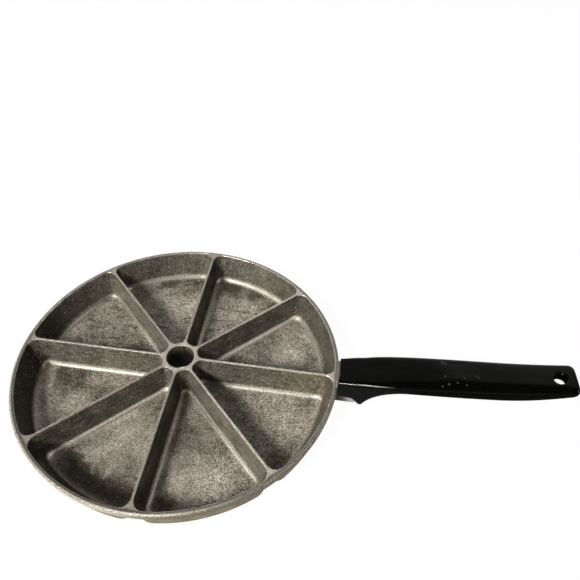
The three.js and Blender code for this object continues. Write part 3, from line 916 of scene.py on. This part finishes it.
class Nodes:
    """One shader's net of nodes; most methods add what they need and give an output to link on."""

    def __init__(self, tree):
        self.tree = tree

    def fill(self, node, inputs):
        """Sets a node's inputs to values, or links them to other nodes' outputs."""
        for key, value in inputs.items():
            if isinstance(value, bpy.types.NodeSocket):
                self.tree.links.new(value, node.inputs[key])
            else:
                node.inputs[key].default_value = value

    def add(self, kind, inputs=None, **settings):
        """New node with its inputs and settings."""
        made = self.tree.nodes.new(kind)
        for name, value in settings.items():
            setattr(made, name, value)
        self.fill(made, inputs or {})
        return made

    def maths(self, operation, first, *others):
        """Result of an operation on numbers, taken one after the other."""
        for other in others:
            first = self.add("ShaderNodeMath", {0: first, 1: other}, operation=operation).outputs[0]
        return first

    def times(self, *values):
        return self.maths("MULTIPLY", *values)

    def plus(self, *values):
        return self.maths("ADD", *values)

    def less(self, *values):
        return self.maths("SUBTRACT", *values)

    def most(self, *values):
        return self.maths("MAXIMUM", *values)

    def vector(self, operation, *values, output="Vector"):
        """Vector that an operation on vectors gives."""
        made = self.add("ShaderNodeVectorMath", dict(enumerate(values)), operation=operation)
        return made.outputs[output]

    def measure(self, operation, *values):
        """Number that an operation on vectors gives, such as a length."""
        return self.vector(operation, *values, output="Value")

    def split(self, vector):
        return self.add("ShaderNodeSeparateXYZ", {0: vector}).outputs

    def xyz(self, *parts):
        return self.add("ShaderNodeCombineXYZ", dict(enumerate(parts))).outputs[0]

    def ramp(self, value, span, start=0.0, end=1.0):
        """Smooth change from start to end while a value goes over a span."""
        sockets = {"Value": value, "From Min": span[0], "From Max": span[1], "To Min": start, "To Max": end}
        return self.add("ShaderNodeMapRange", sockets, interpolation_type="SMOOTHSTEP").outputs["Result"]

    def grain(self, place, scale, detail, roughness, output="Fac"):
        """Noise from 0 to 1, with its scale in waves to the metre."""
        sockets = {"Vector": place, "Scale": scale, "Detail": detail, "Roughness": roughness}
        return self.add("ShaderNodeTexNoise", sockets).outputs[output]

    def stretched(self, place, shares):
        """Place with each axis scaled, for marks that run one way."""
        return self.vector("MULTIPLY", place, shares)

    def wandering(self, place, scale, reach):
        """Place moved a little by noise, so that edges drawn there are ragged."""
        noise = self.grain(place, scale, WANDER_DETAIL, WANDER_ROUGHNESS, "Color")
        offset = self.vector("SUBTRACT", noise, MIDDLE_GREY)
        return self.vector("MULTIPLY_ADD", offset, (2 * reach * MM,) * 3, place)

    def between(self, share, first, second):
        """Number between two others."""
        return self.add("ShaderNodeMix", {0: share, 2: first, 3: second}).outputs[0]

    def blended(self, share, first, second):
        """Colour between two others."""
        return self.add("ShaderNodeMix", {0: share, 6: first, 7: second}, data_type="RGBA").outputs[2]

    def scaled(self, colour, share):
        return self.add("ShaderNodeVectorMath", {0: colour, "Scale": share}, operation="SCALE").outputs[0]

    def bumped(self, height, strength, depth):
        """Normal of a surface with small heights, the depth in millimetres."""
        sockets = {"Height": height, "Strength": strength, "Distance": depth * MM}
        return self.add("ShaderNodeBump", sockets).outputs["Normal"]


def material(name):
    """New material, its nodes and its shader."""
    made = bpy.data.materials.new(name)
    made.use_nodes = True
    return made, Nodes(made.node_tree), made.node_tree.nodes["Principled BSDF"]


# Cast aluminium

def spots(net, place, places):
    """Soft patches on the wells' floors, each at its strength in the middle and 0 outside."""
    found = 0.0
    for azimuth, radius, reach, strength in places:
        middle = metres(*(radius * ray(math.radians(azimuth))), FLOOR)
        fade = metres(SPOT_CORE * reach, SPOT_FADE * reach)
        found = net.most(found, net.ramp(net.measure("DISTANCE", place, middle), fade, strength, 0))
    return found


def painted_shadow_strips(net, place):
    """Painted shadows on the floor on the anticlockwise side of some dividers, each at its strength up to
    its width.
    """
    found = 0.0
    for azimuth, width, strength in PAINTED_SHADOW_STRIPS:
        x, y = ray(math.radians(azimuth))
        along = net.measure("DOT_PRODUCT", place, (x, y, 0))
        away = net.measure("DOT_PRODUCT", place, (-y, x, 0))
        edge = metres(width - STRIP_SOFTNESS, width + STRIP_SOFTNESS)
        strip = net.times(net.ramp(away, STRIP_START), net.ramp(along, STRIP_HUB))
        found = net.most(found, net.times(strip, net.ramp(away, edge, strength, 0)))
    return found


def casting_places(net):
    """Places and directions on the casting, and its kinds of surface as shares from 0 to 1."""
    at = SimpleNamespace()
    coordinates = net.add("ShaderNodeTexCoord").outputs
    normal = coordinates["Normal"]
    at.place = net.vector("SUBTRACT", coordinates["Object"], metres(PAN_X, 0, 0))
    at.x, at.y, at.z = net.split(at.place)
    at.plan = net.xyz(at.x, at.y)
    at.radius = net.measure("LENGTH", at.plan)
    at.azimuth = net.maths("ARCTAN2", at.y, at.x)
    at.towards_back, at.up = net.split(normal)[1:]
    at.lightwards = net.measure("DOT_PRODUCT", normal, LIGHT_WALLS)
    at.greywards = net.measure("DOT_PRODUCT", normal, GREY_WALLS)

    deep = net.ramp(at.z, FLOOR_HEIGHTS, 1, 0)
    at.level = net.times(net.ramp(at.up, LEVEL_SLOPE), deep)
    at.fillet = net.times(net.ramp(at.up, FILLET_START), net.ramp(at.up, FILLET_END, 1, 0), deep)
    at.front_fillet = net.times(at.fillet, net.ramp(at.towards_back, FRONT_FACING, 1, 0))
    at.near_rim = net.ramp(at.radius, RIM_WALL_ZONE)
    at.top = net.ramp(at.z, TOP_HEIGHTS)
    at.rim = net.ramp(at.radius, RIM_LAND_ZONE)
    at.outside = net.ramp(at.radius, OUTSIDE_ZONE)
    at.band = net.times(at.outside, net.less(1, at.top))
    at.below = net.ramp(at.up, UNDERSIDE_SLOPE, 1, 0)
    at.bore = net.ramp(at.radius, BORE_RADII, 1, 0)
    at.under_handle = net.times(net.ramp(at.z, ROOT_HEIGHTS), net.ramp(at.x, TONGUE_START))
    return at


def casting_marks(net, at):
    """Adds the marks: grain, blotches, painted glints, and rubbing along the dividers and down the rim's
    wall.
    """
    at.speckle = net.grain(at.place, *SPECKLE)
    at.mottle = net.grain(at.place, *MOTTLE)
    at.blotches = net.grain(at.place, *BLOTCHES)
    flecks = net.ramp(net.grain(at.place, *GLINT_NOISE), GLINT_SPAN)
    at.flecks = net.times(flecks, net.ramp(at.band, WHOLE, *GLINT_SHARES))
    along = net.xyz(net.times(at.radius, DIVIDER_STRETCH), at.z, net.times(at.azimuth, DIVIDER_TURN))
    down = net.xyz(net.times(at.azimuth, RIM_RADIUS * MM), net.times(at.z, RIM_RUB_STRETCH))
    at.rubs = net.between(at.near_rim, net.grain(along, *DIVIDER_RUBS), net.grain(down, *RIM_RUBS))


def floor_tone(net, at):
    """Floors of the wells: abraded light in places, some of it painted light where a lamp's shadow falls,
    and soiled, streaked or pitted in others, with painted shadows beside some dividers and the front-left
    rim and painted shade near the hub and the rim.
    """
    ragged = net.wandering(at.place, *RAGGED)
    ring = net.times(
        net.ramp(at.radius, RING_RADII),
        net.ramp(at.x, RING_LEFT, 1, 0),
        net.ramp(at.y, BEHIND_HUB, 1, RING_BACK_SHARE),
    )
    worn_and_lit = net.most(spots(net, ragged, WORN_AND_LIT_PLACES), ring)
    # Painted shadow of the front-left rim on the floor beside it
    shaded = net.times(
        net.ramp(net.measure("LENGTH", ragged), SHADED_RADII),
        net.ramp(at.azimuth, SHADED_START),
        net.ramp(at.azimuth, SHADED_END, SHADED_SHARE, 0),
    )
    # Soiled places, with painted shadows and painted shade among them
    stained_and_shaded = net.most(spots(net, ragged, STAINED_AND_SHADED_PLACES), painted_shadow_strips(net, ragged), shaded)
    wavy = net.wandering(at.place, *WAVY)
    streaks = net.grain(net.stretched(wavy, STREAK_STRETCH), *STREAKS)
    streaked = net.times(
        net.ramp(streaks, STREAK_SPAN, 0, STREAK_LOSS),
        net.ramp(at.azimuth, STREAKED_AZIMUTHS, STREAKS_ELSEWHERE, 1),
    )
    pits = net.times(net.ramp(net.grain(at.place, *PITS), PIT_SPAN), spots(net, at.place, PITTED_PLACES))

    patches = net.grain(at.place, *PATCHES)
    wear_and_light = net.plus(net.times(at.blotches, BLOTCH_SHARE), net.times(patches, PATCH_SHARE))
    wear_and_light = net.plus(net.ramp(wear_and_light, WEAR_SPAN, *WEAR_LEVELS), net.times(worn_and_lit, WORN_AND_LIT_GAIN))
    wear_and_light = net.less(wear_and_light, net.times(stained_and_shaded, STAIN_AND_SHADE_LOSS), streaked, net.times(pits, PIT_LOSS))
    return net.blended(wear_and_light, FLOOR_STAINED_AND_SHADED, FLOOR_WORN_AND_LIT)


def wall_tone(net, at):
    """Walls of the wells: painted light, grey or dark by the way they face the lamps, blotched, rub-marked,
    scraped and olive.
    """
    # Painted light and shade: walls facing the key lamp painted light, walls facing the front-right greyer,
    # the rest dark
    light = net.maths("POWER", net.ramp(at.lightwards, EVERY_WAY), LIGHT_POWER)
    light = net.most(light, net.ramp(at.greywards, GREY_SPAN, 0, GREY_SHARE))
    tone = net.blended(light, WALL_DARK, WALL_LIGHT)
    tone = net.blended(net.ramp(at.blotches, NOISE_SPAN, 0, WALL_BLOTCHES), tone, WALL_DARK)
    rubbing = net.ramp(at.near_rim, WHOLE, *RUBBING)
    tone = net.blended(net.times(net.ramp(at.rubs, RUB_LIGHT), rubbing), tone, WALL_LIGHT)
    tone = net.blended(net.times(net.ramp(at.rubs, RUB_DARK), rubbing), tone, WALL_DARK)
    scraped = net.times(
        net.ramp(at.towards_back, SCRAPED_FACING, SCRAPED_SHARE, 0),
        net.ramp(at.blotches, SCRAPED_SPAN),
        net.ramp(at.mottle, SCRAPED_SPAN),
    )
    tone = net.blended(scraped, tone, LAND_LEFT)
    from_olive = net.measure("DISTANCE", at.place, OLIVE_PLACE)
    olive = net.times(
        net.ramp(from_olive, OLIVE_REACH, OLIVE_SHARE, 0),
        net.ramp(at.mottle, OLIVE_MOTTLE, OLIVE_THIN, 1),
    )
    tone = net.blended(olive, tone, OLIVE)
    right_rim = net.times(at.near_rim, net.ramp(at.x, FAR_RIGHT, 0, RIGHT_RIM_SHARE))
    return net.blended(right_rim, tone, WALL_DARK)


def fillet_share(net, at):
    """How far the fillets at the foot of the walls are painted bright, as rub-polished metal and as a
    painted highlight on those that face the lamps.
    """
    back_left = net.times(net.ramp(at.x, LEFT_OF_HUB, 1, 0), net.ramp(at.y, BEHIND_HUB))
    share = net.most(
        net.times(net.ramp(at.greywards, BRIGHT_FILLETS), net.less(1, at.near_rim)),
        net.times(at.near_rim, RIM_FILLET_SHARE),
        net.ramp(back_left, WHOLE, *FILLET_SHARES),
    )
    # Less painted highlight on the rim's fillets at the front, which lie in shade
    shaded_front_rim = net.times(at.near_rim, net.ramp(at.y, BACK_HALF, SHADED_FRONT_RIM_SHARE, 0))
    return net.times(at.fillet, net.less(share, shaded_front_rim))


def land_tone(net, at):
    """Lands of the dividers and the rim, with the rim's dark lines and painted glints."""
    brighter = net.most(
        net.ramp(at.x, RIGHT_SIDE),
        net.ramp(at.radius, HUB_LANDS, HUB_LAND_SHARE, 0),
    )
    divider = net.blended(brighter, LAND_LEFT, LAND_RIGHT)
    darker = net.ramp(net.measure("DOT_PRODUCT", at.plan, DARK_RIM), DARK_RIM_REACH)
    rim = net.blended(darker, RIM_TOP, RIM_TOP_LEFT)
    right_edge = net.times(
        net.ramp(at.radius, RIGHT_EDGE_ZONE),
        net.ramp(at.x, RIGHT_SIDE, 0, RIGHT_EDGE_SHARE),
    )
    rim = net.blended(right_edge, rim, RIM_LINE)
    rim = net.blended(at.flecks, rim, GLINT)
    line = net.times(
        net.ramp(at.radius, LINE_START),
        net.ramp(at.radius, LINE_END, 1, 0),
        net.ramp(at.mottle, LINE_MOTTLE, *LINE_SHARES),
    )
    return net.blended(at.rim, divider, net.blended(line, rim, RIM_LINE))


def casting_colour(net, at):
    """Colour of the whole casting, before its grain."""
    colour = net.blended(at.level, wall_tone(net, at), floor_tone(net, at))
    colour = net.blended(fillet_share(net, at), colour, FILLET)
    # Painted glints
    colour = net.blended(at.flecks, colour, GLINT)
    cup_tone = net.blended(net.ramp(at.blotches, NOISE_SPAN), CUP_STAINED, CUP)
    colour = net.blended(at.below, colour, cup_tone)
    # Band painted lighter on the side that faces the key lamp
    lit = net.ramp(net.measure("DOT_PRODUCT", at.plan, LIGHT_BAND), LIT_BAND_REACH)
    colour = net.blended(at.outside, colour, net.blended(lit, BAND, BAND_LIT))
    colour = net.blended(at.top, colour, land_tone(net, at))
    # Painted shade down the bore, and painted light at its top
    bore_height = net.ramp(at.z, BORE_HEIGHTS)
    colour = net.blended(at.bore, colour, net.blended(bore_height, BORE, BORE_TOP))
    # Painted shade on the tongue under the handle, fading to a lighter tip
    tip = net.ramp(at.x, TONGUE_LENGTH)
    return net.blended(at.under_handle, colour, net.blended(tip, TONGUE_DARK, TONGUE_TIP))


def casting_grain(net, at):
    """Light and dark grain as a factor of the colour, evened out on some surfaces."""
    shade = net.times(
        net.ramp(at.speckle, SPECKLE_SPAN, 0, SPECKLE_CONTRAST),
        net.ramp(at.mottle, NOISE_SPAN, *MOTTLE_LEVELS),
    )
    even = net.most(
        net.times(at.fillet, EVEN_FILLET),
        net.times(at.top, EVEN_TOP),
        net.times(at.band, EVEN_BAND),
        net.times(at.below, EVEN_BELOW),
        net.times(net.ramp(at.y, FRONT, EVEN_FRONT, 0), net.ramp(at.x, LEFT_OF_RIGHT, 1, 0)),
    )
    return net.between(even, shade, 1)


def cast_aluminium():
    """Old cast aluminium: abraded and soiled floors with painted light and painted shadows, walls mostly
    painted dark by the way they face, rub-polished edges and a grainy skin.
    """
    made, net, shader = material("cast_aluminium")
    at = casting_places(net)
    casting_marks(net, at)
    colour = net.scaled(casting_colour(net, at), casting_grain(net, at))

    underneath = net.most(at.outside, at.below)
    metal = net.plus(net.times(at.top, at.rim, RIM_METAL), METAL)
    metal = net.most(metal, net.times(at.fillet, FILLET_METAL))
    metal = net.less(metal, net.times(at.front_fillet, FRONT_FILLET_METAL))
    metal = net.times(metal, net.ramp(underneath, WHOLE, 1, OUTSIDE_METAL))
    rough = net.ramp(at.blotches, ROUGH_SPAN, *ROUGH_LEVELS)
    rough = net.less(rough, net.times(at.top, TOP_SMOOTHER), net.times(at.fillet, FILLET_SMOOTHER))
    rough = net.plus(
        rough,
        net.times(underneath, OUTSIDE_ROUGHER),
        net.times(at.front_fillet, FILLET_SMOOTHER),
        net.times(at.bore, BORE_ROUGHER),
    )
    skin = net.plus(at.speckle, net.times(at.blotches, BLOTCH_RELIEF))
    relief = net.less(RELIEF, net.times(net.most(at.top, at.fillet), CALM_RELIEF))
    normal = net.bumped(skin, relief, RELIEF_DEPTH)
    net.fill(shader, {
        "Base Color": colour,
        "Metallic": metal,
        "Roughness": rough,
        "Specular IOR Level": CAST_SPECULAR,
        "Normal": normal,
    })
    return made


# Other materials

def phenolic():
    """Black moulding: polished on top, dull on its flanks and scuffs, with a painted highlight drawn as a
    rub mark on the root's near edge.
    """
    made, net, shader = material("phenolic")
    coordinates = net.add("ShaderNodeTexCoord").outputs
    place = net.vector("SUBTRACT", coordinates["Object"], metres(PAN_X + SEAT_RADIUS, 0, RIM_HEIGHT))
    reach, across = net.split(place)[:2]
    side, up = net.split(coordinates["Normal"])[1:]
    plan = net.xyz(reach, across)

    breaks = net.grain(net.stretched(place, BREAK_STRETCH), *BREAKS)
    # Painted highlight along the root's near edge, broken in places
    rubbed_edge_highlight = net.times(
        net.ramp(up, EDGE_START),
        net.ramp(up, EDGE_END, 1, 0),
        net.ramp(side, NEAR_FACING, 1, 0),
        net.ramp(reach, EDGE_REACH, 1, 0),
        net.ramp(breaks, BREAK_SPAN, BREAK_FAINT, 1),
    )
    ragged = net.wandering(plan, *SCUFF_WANDER)
    scuffs = 0.0
    for middle_reach, middle_across, size in SCUFFS:
        distance = net.measure("DISTANCE", ragged, metres(middle_reach, middle_across, 0))
        scuffs = net.most(scuffs, net.ramp(distance, metres(SCUFF_CORE * size, size), 1, 0))
    scuffs = net.times(scuffs, net.ramp(up, SCUFF_SLOPE))
    from_hole = net.measure("DISTANCE", plan, metres(HANDLE_LENGTH - HANG_HOLE_INSET, 0, 0))
    in_hole = net.ramp(from_hole, HOLE_RADII, 1, 0)

    dust = net.ramp(net.grain(place, *DUST), DUST_SPAN)
    colour = net.blended(net.times(dust, DUST_SHARE), PHENOLIC, RUBBED_AND_HIGHLIGHT)
    colour = net.blended(net.times(scuffs, SCUFF_SHARE), colour, RUBBED_AND_HIGHLIGHT)
    colour = net.blended(rubbed_edge_highlight, colour, RUBBED_AND_HIGHLIGHT)
    smears = net.grain(net.stretched(place, SMEAR_STRETCH), *SMEARS)
    gloss = net.between(
        net.ramp(up, FLANK_SLOPE, 1, 0),
        net.ramp(smears, NOISE_SPAN, SMEAR_GLOSS, 1),
        net.ramp(reach, FLANK_REACH, *FLANK_GLOSS),
    )
    gloss = net.times(gloss, net.ramp(net.most(in_hole, scuffs), WHOLE, 1, DULL_GLOSS))
    net.fill(shader, {
        "Base Color": colour,
        "Specular IOR Level": 0,
        "Roughness": PHENOLIC_ROUGHNESS,
        "Coat Weight": gloss,
        "Coat IOR": COAT_IOR,
        "Coat Roughness": COAT_ROUGHNESS,
    })
    return made


def plain_metal(name, light, dark):
    """Turned metal with fine lines and a dulled skin."""
    made, net, shader = material(name)
    place = net.add("ShaderNodeTexCoord").outputs["Object"]
    lines = net.grain(net.stretched(place, TURNED_STRETCH), *TURNED_LINES)
    colour = net.blended(net.grain(place, *TURNED_TONES), dark, light)
    rough = net.ramp(lines, ROUGH_SPAN, *TURNED_LEVELS)
    normal = net.bumped(lines, TURNED_RELIEF, TURNED_DEPTH)
    net.fill(shader, {"Base Color": colour, "Metallic": 1, "Roughness": rough, "Normal": normal})
    return made


# Pieces

def keep_inside(piece):
    """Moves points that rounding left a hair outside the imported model's box back onto it."""
    for vertex in piece.data.vertices:
        vertex.co = [min(max(c, low), high) for c, low, high in zip(vertex.co, *cad_box)]


def dress(piece, finish, node):
    """Gives a fine piece its material and puts it in a node's place."""
    keep_inside(piece)
    piece.data.materials.clear()
    piece.data.materials.append(finish)
    smooth(piece)
    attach(piece, "root")
    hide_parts(node)


steel = plain_metal("steel", STEEL, STEEL_DARK)
dress(pan_casting(), cast_aluminium(), "pan_casting")
dress(handle(), phenolic(), "handle")
dress(handle_screw(), steel, "handle_screw")
dress(lock_washer(), steel, "lock_washer")
insert = bpy.data.objects["threaded_insert"]
insert.data.materials.clear()
insert.data.materials.append(plain_metal("brass", BRASS, BRASS_DARK))


# Stage, light and camera

def seen(net):
    """1 for rays that show the background, in the camera or in metal and glass, and 0 for its light."""
    path = net.add("ShaderNodeLightPath").outputs
    return net.plus(path["Is Camera Ray"], path["Is Glossy Ray"], path["Is Transmission Ray"])


def floor():
    """Floor that is seen as nearly even white, and lights as a plain diffuse one with a shadow."""
    mesh = bpy.data.meshes.new("floor")
    corners = [(x * FLOOR_REACH, y * FLOOR_REACH, 0) for x, y in ((-1, -1), (1, -1), (1, 1), (-1, 1))]
    mesh.from_pydata(corners, [], [(0, 1, 2, 3)])
    made = linked("floor", mesh)
    paint, net, shader = material("white_floor")
    net.fill(shader, {"Base Color": FLOOR_PAINT, "Roughness": 1, "Specular IOR Level": 0})
    white = net.add("ShaderNodeEmission", {"Strength": 1}).outputs[0]
    share = net.times(seen(net), FLOOR_WHITE)
    mixed = net.add("ShaderNodeMixShader", {0: share, 1: shader.outputs[0], 2: white}).outputs[0]
    net.fill(net.tree.nodes["Material Output"], {"Surface": mixed})
    made.data.materials.append(paint)


def direction(azimuth, elevation):
    """Unit vector at an azimuth from +X and an elevation, both in degrees."""
    run, rise = ray(math.radians(elevation))
    return Vector((*(run * ray(math.radians(azimuth))), rise))


def camera():
    """The photograph's camera, from its place and angles."""
    back = direction(CAMERA_AZIMUTH, CAMERA_ELEVATION)
    level = Vector((0, 0, 1)).cross(back).normalized()
    right = Matrix.Rotation(math.radians(CAMERA_ROLL), 3, back) @ level
    up = back.cross(right)
    made = linked("camera", bpy.data.cameras.new("camera"))
    made.data.sensor_width = SENSOR_WIDTH
    made.data.lens = CAMERA_LENS
    made.matrix_world = Matrix((right, up, back)).transposed().to_4x4()
    made.location = Vector(CAMERA_PLACE) * MM + RIM_MIDDLE
    bpy.context.scene.camera = made


def lamp(name, azimuth, elevation, size, power):
    """Soft round lamp aimed at the middle of the rim's top."""
    towards = direction(azimuth, elevation)
    light = bpy.data.lights.new(name, "AREA")
    light.shape = "DISK"
    light.size = size
    light.energy = power
    light.color = LAMP_COLOUR
    made = linked(name, light)
    made.location = towards * LAMP_DISTANCE + RIM_MIDDLE
    made.rotation_euler = towards.to_track_quat("Z", "Y").to_euler()


def sines(degrees):
    """Heights of unit vectors at elevations in degrees."""
    return tuple(math.sin(math.radians(angle)) for angle in degrees)


def world():
    """Room: white along the horizon, dim above, dark overhead and right, and a backdrop seen as white."""
    made = bpy.data.worlds.new("studio")
    made.use_nodes = True
    net = Nodes(made.node_tree)
    x, y, z = net.split(net.add("ShaderNodeTexCoord").outputs["Generated"])
    walls = net.ramp(z, sines(WALL_ELEVATIONS), *ROOM_WALLS)
    walls = net.times(walls, net.ramp(x, ROOM_RIGHT_SIDE, 1, ROOM_RIGHT))
    horizon = net.ramp(z, sines(HORIZON_ELEVATIONS), 1, 0)
    horizon = net.times(horizon, net.ramp(y, ROOM_BACK_SIDE, ROOM_FRONT, 1))
    backdrop = net.ramp(z, sines(BACKDROP_ELEVATIONS), FLOOR_WHITE, 0)
    strength = net.most(walls, horizon, net.times(seen(net), backdrop))
    net.fill(net.tree.nodes["Background"], {"Color": WHITE, "Strength": strength})
    bpy.context.scene.world = made


floor()
camera()
for name, setting in LAMPS.items():
    lamp(name, *setting)
world()
bpy.context.scene.view_settings.view_transform = "Standard"
